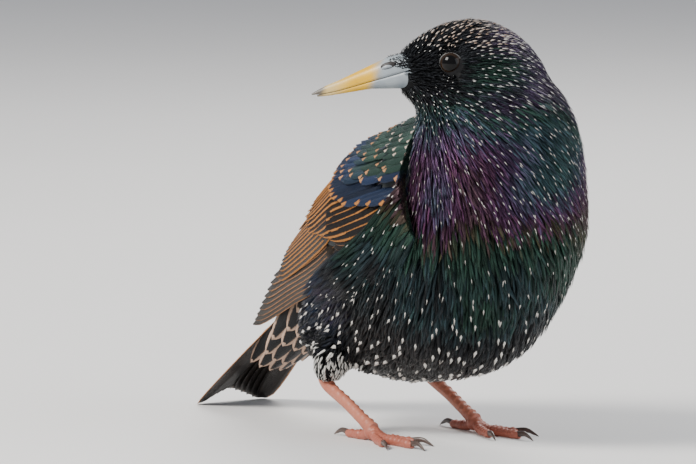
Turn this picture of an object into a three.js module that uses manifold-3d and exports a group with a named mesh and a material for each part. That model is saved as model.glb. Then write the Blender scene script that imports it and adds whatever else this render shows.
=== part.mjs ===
// A common starling in winter plumage, life size in millimetres, standing with its head turned back over its
// right shoulder. +X is the way the body faces, +Y is its left and +Z is up. The floor is z = 0.
import * as THREE from "three";
import { mergeVertices } from "three/addons/utils/BufferGeometryUtils.js";
import Module from "manifold-3d";

const wasm = await Module();
wasm.setup();

// Driving sizes.
const GAP = 0.3; // clear space kept between neighbouring pieces
const SKULL_AT = [33.5, -7, 113]; // middle of the skull
const HEAD_TURN = -125; // degrees that the head turns from the body's heading
const EYE_RADIUS = 3.6;
const LEG_SPREAD = 18.5; // from the midline to each foot
const ANKLE = [-24, 15.5]; // x and z of the ankle joint
const HIP = [-17, 29]; // x and z of the middle of the feathered thigh
const FOOT_HUB = [0.5, 3.2]; // x and z where the toes meet the shank
const VANE_THICKNESS = 0.55;

const DEGREE = Math.PI / 180;
const point = (x, y, z) => new THREE.Vector3(x, y, z);
const { lerp, clamp } = THREE.MathUtils;

// A value from a list of [station, value] pairs, joined smoothly.
function along(stations, s) {
  let i = 0;
  while (i < stations.length - 2 && s > stations[i + 1][0]) i++;
  const [a, from] = stations[i];
  const [b, to] = stations[i + 1];
  return lerp(from, to, clamp((s - a) / (b - a), 0, 1));
}

// A closed geometry as a solid: shared corners merged, collapsed faces dropped and the faces turned outwards.
function solid(geometry) {
  const bare = new THREE.BufferGeometry().setAttribute("position", geometry.getAttribute("position"));
  bare.setIndex(geometry.index);
  const merged = mergeVertices(bare, 1e-3);
  const corners = [];
  for (let i = 0; i < merged.index.count; i += 3) {
    const [a, b, c] = [0, 1, 2].map((k) => merged.index.getX(i + k));
    if (a !== b && b !== c && c !== a) corners.push(a, b, c);
  }
  const made = (triangles) =>
    new wasm.Manifold(
      new wasm.Mesh({
        numProp: 3,
        vertProperties: merged.attributes.position.array,
        triVerts: new Uint32Array(triangles),
      }),
    );
  const asDrawn = made(corners);
  return asDrawn.volume() > 0 ? asDrawn : made(corners.reverse());
}

// Many solids fused into one.
const fused = (solids) => solids.reduce((sum, next) => sum.add(next));

// The largest closed surface of a solid, as a geometry whose close corners are merged.
function geometryOf(made) {
  const largest = (parts) => parts.reduce((a, b) => (b.volume() > a.volume() ? b : a));
  const drawn = (whole) => {
    const { numProp, vertProperties, triVerts } = whole.getMesh();
    const places = new Float32Array((vertProperties.length / numProp) * 3);
    for (let i = 0; i < places.length / 3; i++) {
      places.set(vertProperties.subarray(i * numProp, i * numProp + 3), i * 3);
    }
    return new THREE.BufferGeometry()
      .setAttribute("position", new THREE.BufferAttribute(places, 3))
      .setIndex(new THREE.BufferAttribute(triVerts, 1));
  };
  const merged = solid(drawn(largest(made.decompose())));
  return drawn(largest(merged.decompose()));
}

// A stock geometry with every corner moved to the place that a function gives it.
function reshaped(geometry, place) {
  const corners = geometry.getAttribute("position");
  for (let i = 0; i < corners.count; i++) {
    const p = place(corners.getX(i), corners.getY(i), corners.getZ(i));
    corners.setXYZ(i, p.x, p.y, p.z);
  }
  return geometry;
}

// Head coordinates: forward along the bill, to the head's left, and up, from the middle of the skull.
const headFrame = new THREE.Matrix4().makeRotationZ(HEAD_TURN * DEGREE).setPosition(...SKULL_AT);
const onHead = (forward, left, up) => point(forward, left, up).applyMatrix4(headFrame);

// The bird out to the tips of its feathers, as egg shapes that melt into one another. Each has its middle,
// its half length, width and depth, the pitch of its long axis in degrees, and how softly it melts.
const egg = (at, half, pitch = 0, melt = 8) => ({ at, half, pitch, melt });
const torsoEggs = [
  egg([-1, 0, 46.5], [38, 27, 30], 20),
  egg([32, 0, 68], [33, 28, 32], 55, 10),
  egg([20, 0, 50], [27.5, 26, 30], 32, 12),
  egg([-30, 0, 44], [25, 16, 16], 32, 12),
  egg([-29, 11, 31], [16, 9.5, 11], 34, 8),
  egg([-29, -11, 31], [16, 9.5, 11], 34, 8),
  egg([8, 0, 66], [33, 23, 22], 36, 12),
];
const neckEggs = [egg([39, -1, 92], [21.5, 22, 22], 0, 12)];
const headEggs = [
  egg([2.5, 0, 0.2], [16.8, 7, 12.4], -6, 10),
  egg([-2, 0, -2], [13.5, 10.6, 11.2], -6, 7),
  egg([13, 0, -1.8], [12, 3.6, 7.2], -10, 5),
  egg([-8, 0, -9], [12.5, 12.5, 12.5], 25, 7),
  egg([8.5, 0, -7.8], [9.5, 4.8, 5.4], -4, 5),
];

// The distance from a place to the melted eggs, below zero inside them.
function fleshOf(groups) {
  const shapes = groups.flatMap(({ eggs, frame }) =>
    eggs.map(({ at, half, pitch, melt }) => {
      const seat = new THREE.Matrix4().makeRotationY(-pitch * DEGREE).setPosition(...at);
      return { into: frame.clone().multiply(seat).invert(), half: point(...half), melt };
    }),
  );
  const local = point(0, 0, 0);
  return (place) => {
    let nearest = Infinity;
    for (const { into, half, melt } of shapes) {
      local.copy(place).applyMatrix4(into).divide(half);
      const reach = local.length();
      const slope = local.divide(half).length();
      const distance = slope > 0 ? (reach * (reach - 1)) / slope : -Math.min(half.x, half.y, half.z);
      const shared = Math.max(melt - Math.abs(nearest - distance), 0) / melt;
      nearest = Math.min(nearest, distance) - (Number.isFinite(nearest) ? (shared * shared * melt) / 4 : 0);
    }
    return nearest;
  };
}

const still = new THREE.Matrix4();
const wholeFlesh = fleshOf([
  { eggs: torsoEggs, frame: still },
  { eggs: neckEggs, frame: still },
  { eggs: headEggs, frame: headFrame },
]);
const headFlesh = fleshOf([
  { eggs: neckEggs, frame: still },
  { eggs: headEggs, frame: headFrame },
]);

// A capsule wrapped on the flesh: each corner goes out from the spine to the flesh's surface, and `swell` on.
function wrapped(flesh, spine, { sides, caps, rows, swell = 0, reach = 90 }) {
  const frameAt = (t) => {
    const forward = spine.getTangent(t);
    const across = point(0, 0, 1).cross(forward).lengthSq() > 1e-6 ? point(0, 1, 0) : point(1, 0, 0);
    const side = across.sub(forward.clone().multiplyScalar(across.dot(forward))).normalize();
    return { forward, side, up: forward.clone().cross(side) };
  };
  return reshaped(new THREE.CapsuleGeometry(1, 1, caps, sides, rows), (x, y, z) => {
    const t = clamp(y + 0.5, 0, 1);
    const { forward, side, up } = frameAt(t);
    const ahead = y - (t - 0.5);
    const ray = forward.multiplyScalar(ahead).addScaledVector(side, x).addScaledVector(up, z).normalize();
    const from = spine.getPoint(t);
    let out = 0;
    for (let step = 0; step < 60; step++) {
      const short = swell - flesh(from.clone().addScaledVector(ray, out));
      if (short < 1e-3) break;
      out = Math.min(out + short * 0.9, reach);
    }
    return from.addScaledVector(ray, out);
  });
}

// A half-space as a very large block whose lower face passes through a place and faces against `up`.
function above(place, up) {
  const size = 400;
  const block = new THREE.BoxGeometry(size, size, size).translate(0, 0, size / 2);
  block.applyQuaternion(new THREE.Quaternion().setFromUnitVectors(point(0, 0, 1), up.clone().normalize()));
  return solid(block.translate(place.x, place.y, place.z));
}

// Torso, neck and head are wrapped on one flesh and parted by two thin plane cuts.
const bodySpine = new THREE.CatmullRomCurve3([
  point(-38, 0, 43),
  point(-16, 0, 48),
  point(10, 0, 55),
  point(28, 0, 67),
  point(37, 0, 82),
  point(38, -1, 97),
]);
const headSpine = new THREE.LineCurve3(onHead(-13, 0, -4), onHead(14, 0, -2.5));
const neckBase = { place: point(38, 0, 83), up: point(0.35, 0, 1) };
const headBase = { place: onHead(0, 0, -9.5), up: onHead(0.3, 0, 1).sub(onHead(0, 0, 0)) };
const moved = ({ place, up }, by) => above(place.clone().addScaledVector(up.clone().normalize(), by), up);

const bodyMesh = { sides: 28, caps: 6, rows: 17 };
const headMesh = { sides: 22, caps: 6, rows: 7 };
const body = solid(wrapped(wholeFlesh, bodySpine, bodyMesh));
const swollenBody = solid(wrapped(wholeFlesh, bodySpine, { ...bodyMesh, swell: GAP }));
const swollenHead = solid(wrapped(headFlesh, headSpine, { ...headMesh, swell: GAP }));

const torso = body.subtract(moved(neckBase, -GAP / 2));
const neck = body.intersect(moved(neckBase, GAP / 2)).subtract(moved(headBase, -GAP / 2));
const wholeHead = solid(wrapped(headFlesh, headSpine, headMesh)).intersect(moved(headBase, GAP / 2));

// Eyes: a ball in a socket on each side, and a raised ring of lid round it.
const EYE_SEAT = { forward: 5.7, side: 7.1, up: 0.5 };
const LID = { ring: 3.0, thick: 0.62, out: 2.3 };
const eyeAt = (side) => onHead(EYE_SEAT.forward, side * EYE_SEAT.side, EYE_SEAT.up);
const eyeBall = (side, radius) => {
  const at = eyeAt(side);
  return new THREE.SphereGeometry(radius, 16, 10).translate(at.x, at.y, at.z);
};
function lidRing(side) {
  const gaze = onHead(0.22, side, 0.06).sub(onHead(0, 0, 0)).normalize();
  const ring = new THREE.TorusGeometry(LID.ring, LID.thick, 5, 18);
  ring.applyQuaternion(new THREE.Quaternion().setFromUnitVectors(point(0, 0, 1), gaze));
  const at = eyeAt(side).addScaledVector(gaze, LID.out);
  return solid(ring.translate(at.x, at.y, at.z));
}
let head = fused([wholeHead, lidRing(1), lidRing(-1)]);
for (const side of [1, -1]) head = head.subtract(solid(eyeBall(side, EYE_RADIUS + GAP)));

// Bill: two horny mandibles that part along the line of the mouth, the root of each let into the face.
const CULMEN = [
  [14, 3.2], [20, 2.7], [24, 1.7], [28, -0.2], [33, -2.6], [38, -5], [42, -6.7], [45, -8.3], [46.2, -9],
];
const MOUTH = [[11, -4.2], [18, -1.9], [24, -3.8], [30, -5.6], [38, -8], [43, -9.1], [46.2, -9.5]];
const KEEL = [[11, -7.2], [15, -7.5], [22, -7.5], [29, -7.6], [35, -8.6], [41, -9.6], [44, -9.9]];
const BILL_HALF_WIDTH = [
  [11, 6.3], [15, 5.7], [20, 4.6], [25, 3.6], [31, 2.6], [38, 1.7], [43, 0.95], [46.2, 0.4],
];
const NOSTRIL = { forward: 23.6, side: 3.5, up: -1, half: [2.3, 1.1, 0.75], pitch: 0.35 };
const mandible = (root, tip, highest, lowest, corner) =>
  solid(
    reshaped(new THREE.CylinderGeometry(1, 1, 1, 12, 9), (x, y, z) => {
      const forward = lerp(root, tip, 1 - (0.5 - y) ** 1.25);
      const high = highest(forward);
      const low = lowest(forward);
      const squared = (v) => Math.sign(v) * Math.abs(v) ** corner;
      const width = along(BILL_HALF_WIDTH, forward);
      return onHead(forward, width * x, lerp(low, high, (squared(z) + 1) / 2));
    }),
  );
const nostril = (side) => {
  const { forward, up, half, pitch } = NOSTRIL;
  const slit = new THREE.SphereGeometry(1, 10, 8).scale(...half).rotateY(pitch);
  return solid(reshaped(slit, (x, y, z) => onHead(forward + x, side * NOSTRIL.side + y, up + z)));
};
const upperBill = mandible(14, 46.2, (f) => along(CULMEN, f), (f) => along(MOUTH, f) + GAP / 2, 0.9)
  .subtract(nostril(1))
  .subtract(nostril(-1));
const lowerBill = mandible(12, 44.6, (f) => along(MOUTH, f) - GAP / 2, (f) => along(KEEL, f), 0.8);

// Feathers: a thin curved vane on a surface that `place(s, x, h)` gives, s along it from root to tip, x
// across it from edge to edge and h above it. Both faces are split into triangles alike.
const flightOutline = [[0, 0.5], [0.3, 0.9], [0.65, 1], [0.88, 0.8], [1, 0.2]];
const covertOutline = [[0, 0.5], [0.5, 1], [0.85, 0.85], [1, 0.25]];
const tailOutline = [[0, 0.6], [0.4, 0.85], [0.8, 1], [0.95, 0.85], [1, 0.4]];
function vane(outline, place) {
  const rows = outline.map(([s, wide]) =>
    [VANE_THICKNESS, 0].flatMap((h) => [-wide, wide].map((x) => place(s, x, h))),
  );
  const faces = [];
  const quad = (a, b, c, d) => faces.push(a, b, c, a, c, d);
  const mirroredQuad = (a, b, c, d) => faces.push(a, b, c, a, d, b);
  const [nearTop, farTop, nearUnder, farUnder] = [0, 1, 2, 3];
  for (let row = 0; row < rows.length * 4 - 4; row += 4) {
    const next = row + 4;
    quad(row + nearTop, row + farTop, next + farTop, next + nearTop);
    mirroredQuad(row + nearUnder, next + farUnder, row + farUnder, next + nearUnder);
    quad(row + nearUnder, row + nearTop, next + nearTop, next + nearUnder);
    quad(row + farTop, row + farUnder, next + farUnder, next + farTop);
  }
  const last = rows.length * 4 - 4;
  quad(nearUnder, farUnder, farTop, nearTop);
  quad(last + nearTop, last + farTop, last + farUnder, last + nearUnder);
  const corners = rows.flat().flatMap((p) => p.toArray());
  const geometry = new THREE.BufferGeometry();
  geometry.setAttribute("position", new THREE.Float32BufferAttribute(corners, 3));
  return solid(geometry.setIndex(faces));
}

// Right wing: it lies on a barrel round the body, u along it from the bend of the wing and phi up round it.
const WING_LENGTH = 122;
const barrelX = [[0, 34], [0.35, -5], [0.7, -43], [1, -76]];
const barrelZ = [[0, 70], [0.35, 57], [0.7, 42], [1, 27]];
const barrelWide = [[0, 28.5], [0.35, 28], [0.7, 18], [1, 9.5]];
const barrelDeep = [[0, 29.5], [0.35, 28], [0.7, 15], [1, 8]];
const BARREL_LEAN = 0.38;
function onBarrel(u, phi, h) {
  const s = u / WING_LENGTH;
  const up = (along(barrelDeep, s) + h) * Math.sin(phi * DEGREE);
  const out = (along(barrelWide, s) + h) * Math.cos(phi * DEGREE);
  return point(along(barrelX, s) - up * BARREL_LEAN, -out, along(barrelZ, s) + up);
}

// One wing feather from its root and tip, each [u, phi]; its upper edge is tucked under the next by `tilt`.
const wingVane = ({ outline = covertOutline, root, tip, half, lift, tilt, bow = 0 }) =>
  vane(outline, (s, x, h) => {
    const u = lerp(root[0], tip[0], s);
    const girth = along(barrelWide, u / WING_LENGTH) * DEGREE;
    const phi = lerp(root[1], tip[1], s) - bow * Math.sin(s * Math.PI) + (x * half) / girth;
    return onBarrel(u, phi, lerp(lift[0], lift[1], s) + h - x * tilt);
  });
const wingTier = (count, feather) => [...Array(count).keys()].map((i) => wingVane(feather(i / (count - 1))));

// The arm and the roots of its feathers, as one pad that thins towards its edges.
const PAD = { from: -4, to: 64, low: -6, high: 74, deep: 6, proud: 1.4 };
const armPad = solid(
  reshaped(new THREE.SphereGeometry(1, 12, 8), (x, y, z) => {
    const u = lerp(PAD.from, PAD.to, (x + 1) / 2);
    return onBarrel(u, lerp(PAD.low, PAD.high, (z + 1) / 2), y * (y > 0 ? PAD.proud : PAD.deep));
  }),
);
const primaries = wingTier(6, (t) => ({
  outline: flightOutline,
  root: [44, lerp(-8, 12, t)],
  tip: [lerp(122, 100, t), lerp(6, 34, t)],
  half: 4,
  lift: [-0.8, lerp(-1, 0.6, t)],
  tilt: 0.7,
  bow: 5,
}));
const secondaries = wingTier(5, (t) => ({
  outline: flightOutline,
  root: [42, lerp(10, 38, t)],
  tip: [lerp(98, 90, t), lerp(22, 56, t)],
  half: 4.2,
  lift: [0.2, lerp(1.2, 2, t)],
  tilt: 0.7,
}));
const tertials = wingTier(3, (t) => ({
  outline: flightOutline,
  root: [38, lerp(46, 66, t)],
  tip: [lerp(86, 68, t), lerp(64, 76, t)],
  half: 4.6,
  lift: [0.6, lerp(2.4, 2.8, t)],
  tilt: 0.6,
}));
const greaterCoverts = wingTier(6, (t) => ({
  root: [22, lerp(8, 62, t)],
  tip: [lerp(56, 50, t), lerp(8, 66, t)],
  half: 4.4,
  lift: [0, lerp(1.7, 3, t)],
  tilt: 0.7,
}));
const primaryCoverts = wingTier(2, (t) => ({
  root: [14, lerp(-4, 4, t)],
  tip: [lerp(47, 43, t), lerp(-4, 6, t)],
  half: 3.6,
  lift: [-0.4, lerp(0.8, 1.6, t)],
  tilt: 0.5,
}));
const medianCoverts = wingTier(5, (t) => ({
  root: [6, lerp(10, 60, t)],
  tip: [lerp(34, 31, t), lerp(8, 64, t)],
  half: 4.9,
  lift: [0.4, 2.4],
  tilt: 0.6,
}));
const wing = fused([
  armPad,
  ...primaries,
  ...secondaries,
  ...tertials,
  ...greaterCoverts,
  ...primaryCoverts,
  ...medianCoverts,
]).subtract(swollenBody);

// Tail: twelve overlapping feathers fanned from one root block behind the rump, the middle pair on top.
const TAIL_ROOT = point(-51.5, 0, 42);
const TAIL_SLOPE = 37 * DEGREE;
const TAIL_LENGTH = 61;
const TAIL_FEATHERS = 6; // on each side
const TAIL_STEP = 0.42; // each feather lies this much lower than the one inside it
function onTail(back, side, h) {
  return point(
    TAIL_ROOT.x - back * Math.cos(TAIL_SLOPE) - h * Math.sin(TAIL_SLOPE),
    side,
    TAIL_ROOT.z - back * Math.sin(TAIL_SLOPE) + h * Math.cos(TAIL_SLOPE),
  );
}
const tailFeathers = [1, -1].flatMap((side) =>
  [...Array(TAIL_FEATHERS).keys()].map((i) =>
    vane(tailOutline, (s, x, h) => {
      const back = lerp(-6, TAIL_LENGTH + i * 0.45, s);
      const spread = lerp(0.5, 2.05, s) * (i + 0.5) + x * lerp(3.2, 4.2, s);
      const layer = -TAIL_STEP * (i + (side > 0 ? 0.5 : 0)) - 0.012 * spread * spread;
      return onTail(back, side * spread, layer + h);
    }),
  ),
);
const tailBlock = solid(
  reshaped(new THREE.SphereGeometry(1, 12, 8), (x, y, z) => {
    return onTail(lerp(-14, 15, (x + 1) / 2), y * 8, z * 2.6 - 1.2);
  }),
);
const tail = fused([tailBlock, ...tailFeathers]).subtract(swollenBody);

// Undertail coverts: a soft wedge below the root of the tail, shingled with coverts down its sides.
const WEDGE = { from: -22, to: 40, half: 11.5, top: -3.2, deep: 12 };
const wedgeTaper = (back) => {
  const s = (back - WEDGE.from) / (WEDGE.to + 4 - WEDGE.from);
  return Math.sqrt(clamp(1 - s ** 2, 0, 1));
};
function onWedge(back, round, h) {
  const taper = wedgeTaper(back);
  const side = Math.sin(round) * (WEDGE.half * lerp(0.5, 1, taper) + h);
  return onTail(back, side, WEDGE.top - Math.cos(round) * (WEDGE.deep * taper + h));
}
const undertailWedge = solid(
  reshaped(new THREE.SphereGeometry(1, 14, 8), (x, y, z) => {
    const back = lerp(WEDGE.from, WEDGE.to - 6, (x + 1) / 2);
    return onTail(back, y * WEDGE.half, WEDGE.top - ((1 - z) / 2) * WEDGE.deep * wedgeTaper(back));
  }),
);
const undertailCoverts = [0, 1].flatMap((tier) =>
  [-1, -0.33, 0.33, 1].map((t) =>
    vane(covertOutline, (s, x, h) => {
      const back = lerp(-6 + tier * 14, 20 + tier * 18, s);
      return onWedge(back, (t * 62 + x * 25 * lerp(1, 0.75, s)) * DEGREE, h + s * 0.8 - 0.6);
    }),
  ),
);
const undertail = fused([undertailWedge, ...undertailCoverts])
  .subtract(swollenBody)
  .subtract(tail)
  .subtract(tail.translate(0, 0, -GAP));

// Legs: a feathered thigh, a scaled shank, four toes and their claws, the soles flat on the floor.
function tube(curve, radiusAt, { sides = 8, rows = 8, squash = 1 }) {
  const sleeve = new THREE.CylinderGeometry(1, 1, 1, sides, rows, false, Math.PI / sides);
  return solid(
    reshaped(sleeve, (x, y, z) => {
      const s = 0.5 - y;
      const forward = curve.getTangent(s);
      const side = point(0, 0, 1).cross(forward).normalize();
      const up = forward.clone().cross(side);
      const r = radiusAt(s);
      const p = curve.getPoint(s).addScaledVector(side, x * r * squash).addScaledVector(up, z * r);
      p.z = Math.max(p.z, 0);
      return p;
    }),
  );
}

// Raised scutes: a radius that swells towards the lower edge of each of `count` plates.
const scuted = (stations, count) => (s) => along(stations, s) * (1 + 0.1 * ((s * count) % 1));
const THIGH_RADIUS = [[0, 9], [0.35, 7], [0.75, 4.6], [0.93, 3.6], [1, 2.9]];
const SHANK_RADIUS = [[0, 2.5], [0.12, 2.2], [0.35, 1.85], [0.8, 1.85], [1, 2.2]];
const TOES = [
  { name: "inner", turn: 24, length: 15, thick: 1.35, scutes: 4 },
  { name: "middle", turn: 2, length: 21, thick: 1.5, scutes: 6 },
  { name: "outer", turn: -20, length: 15, thick: 1.35, scutes: 4 },
  { name: "hind", turn: 178, length: 12.5, thick: 1.5, scutes: 3 },
];
const CLAW = { length: 6.5, thick: 0.95 };
const ANKLE_RADIUS = 2.5;
function toe(hub, side, { turn, length, thick, scutes }) {
  const heading = side * turn * DEGREE;
  const out = (far, z) => point(hub.x + far * Math.cos(heading), hub.y + far * Math.sin(heading), z);
  const line = new THREE.CatmullRomCurve3([
    hub,
    out(4, thick * 0.95),
    out(length * 0.6, thick * 0.72),
    out(length, thick * 0.6),
  ]);
  const radius = [[0, 1.5], [0.2, thick], [0.8, thick * 0.86], [1, thick * 0.78]];
  const clawLine = new THREE.CatmullRomCurve3([
    out(length - 1.5, thick * 0.7),
    out(length + CLAW.length * 0.35, thick + 0.3),
    out(length + CLAW.length * 0.75, thick - 0.5),
    out(length + CLAW.length, 0.15),
  ]);
  const clawRadius = (s) => lerp(CLAW.thick, 0.16, s ** 1.3);
  return {
    flesh: tube(line, scuted(radius, scutes), { rows: scutes * 2 }),
    claw: tube(clawLine, clawRadius, { sides: 6, rows: 5, squash: 0.75 }),
  };
}
function leg(side) {
  const at = (x, y, z) => point(x, side * (LEG_SPREAD + y), z);
  const ankle = at(ANKLE[0], 0, ANKLE[1]);
  const hub = at(FOOT_HUB[0], 0, FOOT_HUB[1]);
  const thighLine = new THREE.CatmullRomCurve3([
    at(HIP[0] + 5, -3, HIP[1] + 8),
    at(HIP[0], -1, HIP[1]),
    at(lerp(HIP[0], ANKLE[0], 0.75), 0, lerp(HIP[1], ANKLE[1], 0.75)),
    at(ANKLE[0], 0, ANKLE[1] + 0.4),
  ]);
  const knuckle = new THREE.SphereGeometry(ANKLE_RADIUS, 8, 6).translate(ankle.x, ankle.y, ankle.z);
  const shankLine = new THREE.LineCurve3(ankle, hub);
  const shank = solid(knuckle).add(tube(shankLine, scuted(SHANK_RADIUS, 7), { rows: 14, squash: 0.9 }));
  const thigh = tube(thighLine, (s) => along(THIGH_RADIUS, s), { sides: 10 });
  const toes = TOES.map((shape) => toe(hub, side, shape));
  const foot = fused(toes.map(({ flesh }) => flesh));
  return {
    shank,
    thigh: thigh.subtract(swollenBody).subtract(shank),
    foot: foot.subtract(shank),
    claws: toes.map(({ claw }) => claw.subtract(foot)),
  };
}

const meshes = new THREE.Group();
meshes.name = "starling";
const material = (color, roughness, metalness = 0) =>
  new THREE.MeshStandardMaterial({ color, roughness, metalness });
const finish = {
  plumage: material(0x16211f, 0.45, 0.35),
  wingFeathers: material(0x3a2c20, 0.6),
  horn: material(0xe3b43a, 0.4),
  paleHorn: material(0xaab2bb, 0.4),
  eye: material(0x0b0806, 0.05),
  skin: material(0xb4553c, 0.6),
  claw: material(0x2c211d, 0.45),
};
function add(name, geometry, look) {
  const mesh = new THREE.Mesh(geometry, look);
  mesh.name = name;
  meshes.add(mesh);
  return mesh;
}
add("torso", geometryOf(torso), finish.plumage);
add("neck", geometryOf(neck), finish.plumage);
add("head", geometryOf(head), finish.plumage);
add("eye_left", geometryOf(solid(eyeBall(1, EYE_RADIUS))), finish.eye);
add("eye_right", geometryOf(solid(eyeBall(-1, EYE_RADIUS))), finish.eye);
add("bill_upper", geometryOf(upperBill.subtract(swollenHead)), finish.horn);
add("bill_lower", geometryOf(lowerBill.subtract(swollenHead)), finish.paleHorn);
add("wing_right", geometryOf(wing), finish.wingFeathers);
add("wing_left", geometryOf(wing), finish.wingFeathers).scale.y = -1;
add("tail", geometryOf(tail), finish.wingFeathers);
add("undertail", geometryOf(undertail), finish.plumage);
for (const [name, side] of [["left", 1], ["right", -1]]) {
  const { thigh, shank, foot, claws } = leg(side);
  add(`thigh_${name}`, geometryOf(thigh), finish.plumage);
  add(`shank_${name}`, geometryOf(shank), finish.skin);
  add(`foot_${name}`, geometryOf(foot), finish.skin);
  claws.forEach((claw, i) => add(`claw_${name}_${TOES[i].name}`, geometryOf(claw), finish.claw));
}

// The model stands in the middle of its own footprint.
const extent = new THREE.Box3().setFromObject(meshes);
const middle = extent.getCenter(point(0, 0, 0));
for (const mesh of meshes.children) mesh.position.set(-middle.x, -middle.y, -extent.min.z);

export default meshes;
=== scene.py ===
import math

import bmesh
import bpy
import numpy as np
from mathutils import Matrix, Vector
from mathutils.bvhtree import BVHTree


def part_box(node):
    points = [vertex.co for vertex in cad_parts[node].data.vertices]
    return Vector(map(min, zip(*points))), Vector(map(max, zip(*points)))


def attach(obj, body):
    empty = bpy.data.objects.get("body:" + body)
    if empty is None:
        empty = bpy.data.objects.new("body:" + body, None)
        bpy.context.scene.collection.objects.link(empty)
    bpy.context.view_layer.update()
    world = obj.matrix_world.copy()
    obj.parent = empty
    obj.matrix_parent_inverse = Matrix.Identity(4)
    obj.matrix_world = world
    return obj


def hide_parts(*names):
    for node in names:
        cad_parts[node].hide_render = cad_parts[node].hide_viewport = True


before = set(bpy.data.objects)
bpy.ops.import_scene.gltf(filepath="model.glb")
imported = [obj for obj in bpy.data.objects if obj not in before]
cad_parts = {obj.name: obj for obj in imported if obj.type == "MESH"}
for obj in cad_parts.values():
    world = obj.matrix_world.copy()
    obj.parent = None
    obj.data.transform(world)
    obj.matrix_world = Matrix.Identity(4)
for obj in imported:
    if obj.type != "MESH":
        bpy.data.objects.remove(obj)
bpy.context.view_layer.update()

# Studio: a plain pale floor under soft light, and a long lens level with the bird's breast, a little above
# it. Places are in millimetres, forward, left and up from the floor midway between the bird's feet.
MM = 0.001
CAMERA_NEAR, CAMERA_FAR = 0.05, 60
FOOT_BACK = 12.04  # from the rearmost toe flesh forward to the middle of the feet
AZIMUTH, ELEVATION, DISTANCE = math.radians(55), math.radians(6), 2500
FIELD_WIDTH, SENSOR_WIDTH = 204.7, 36
LOOK_RIGHT, LOOK_UP = -22.2, 60.1  # from the middle of the feet to the middle of the picture
SKY_COLOR, SKY_STRENGTH = (0.86, 0.9, 1, 1), 0.43
LAMPS = [
    # name, metres to the right, back and up, size, watts, colour
    ("window", -0.9, -0.55, 0.95, 0.55, 29, (1.0, 0.97, 0.92)),
    ("fill", 0.9, -0.5, 0.45, 0.9, 6, (0.9, 0.95, 1.0)),
    ("back", 0.3, 0.8, 0.9, 0.7, 11, (1.0, 0.98, 0.95)),
]
FLOOR_HALF = 30000


def middle_of(node):
    low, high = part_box(node)
    return np.array((low + high) / 2) / MM


feet_middle = (middle_of("foot_left") + middle_of("foot_right")) / 2
body_origin = np.array([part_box("foot_left")[0].x / MM + FOOT_BACK, feet_middle[1], 0.0])
upright = np.array([0.0, 0.0, 1.0])
right = np.array([math.cos(AZIMUTH), math.sin(AZIMUTH), 0])
ahead = np.array([-math.sin(AZIMUTH), math.cos(AZIMUTH), 0])
look = math.cos(ELEVATION) * ahead - math.sin(ELEVATION) * upright
up_in_picture = math.sin(ELEVATION) * ahead + math.cos(ELEVATION) * upright
aim = body_origin + LOOK_RIGHT * right + LOOK_UP * up_in_picture

lens = bpy.data.cameras.new("camera")
lens.sensor_width = SENSOR_WIDTH
lens.lens = SENSOR_WIDTH * DISTANCE / FIELD_WIDTH
lens.clip_start, lens.clip_end = CAMERA_NEAR, CAMERA_FAR
camera = bpy.data.objects.new("camera", lens)
camera.location = Vector((aim - look * DISTANCE) * MM)
camera.rotation_euler = Vector(look).to_track_quat("-Z", "Y").to_euler()
bpy.context.scene.collection.objects.link(camera)
bpy.context.scene.camera = camera

sky = bpy.data.worlds.new("soft_room")
sky.use_nodes = True
sky.node_tree.nodes["Background"].inputs["Color"].default_value = SKY_COLOR
sky.node_tree.nodes["Background"].inputs["Strength"].default_value = SKY_STRENGTH
bpy.context.scene.world = sky

for name, to_right, to_back, height, size, watts, color in LAMPS:
    lamp = bpy.data.lights.new(name, "AREA")
    lamp.size, lamp.energy, lamp.color = size, watts, color
    holder = bpy.data.objects.new(name, lamp)
    stand = Vector(aim * MM) + Vector(right) * to_right + Vector(ahead) * to_back
    holder.location = (stand.x, stand.y, height)
    facing = Vector(aim * MM) - holder.location
    holder.rotation_euler = facing.to_track_quat("-Z", "Y").to_euler()
    bpy.context.scene.collection.objects.link(holder)


class Wire:
    """A socket in a material's node tree, which arithmetic joins to others."""

    def __init__(self, tree, socket=None):
        self.tree, self.socket = tree, socket

    def make(self, kind, inputs, output=0, **settings):
        node = self.tree.nodes.new(kind)
        for name, value in settings.items():
            setattr(node, name, value)
        for name, value in inputs.items():
            if isinstance(value, Wire):
                self.tree.links.new(value.socket, node.inputs[name])
            else:
                node.inputs[name].default_value = value
        return Wire(self.tree, node.outputs[output])

    def math(self, operation, *values):
        return self.make("ShaderNodeMath", dict(enumerate(values)), operation=operation)

    def __add__(self, other):
        return self.math("ADD", self, other)

    def __sub__(self, other):
        return self.math("SUBTRACT", self, other)

    def __rsub__(self, other):
        return self.math("SUBTRACT", other, self)

    def __mul__(self, other):
        return self.math("MULTIPLY", self, other)

    __radd__ = __add__
    __rmul__ = __mul__

    def away(self, place):
        return self.math("ABSOLUTE", self - place)

    def larger(self, other):
        return self.math("MAXIMUM", self, other)

    def rise(self, low, high):
        """Goes smoothly from 0 at low to 1 at high."""
        ends = {"Value": self, "From Min": low, "From Max": high}
        return self.make("ShaderNodeMapRange", ends, interpolation_type="SMOOTHSTEP")

    def mixed(self, one, other):
        """A colour, one where this is 0 and the other where it is 1."""
        return self.make("ShaderNodeMix", {0: self, 6: one, 7: other}, output=2, data_type="RGBA")

    def part(self, name):
        return self.make("ShaderNodeSeparateColor", {"Color": self}, output=name)

    def axis(self, name):
        return self.make("ShaderNodeSeparateXYZ", {"Vector": self}, output=name)

    def along(self, direction):
        inputs = {0: self, 1: tuple(float(v) for v in direction)}
        return self.make("ShaderNodeVectorMath", inputs, output="Value", operation="DOT_PRODUCT")

    def noise(self, scale, detail=2.0):
        inputs = {"Vector": self, "Scale": scale, "Detail": detail}
        return self.make("ShaderNodeTexNoise", inputs, output="Fac")


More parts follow.
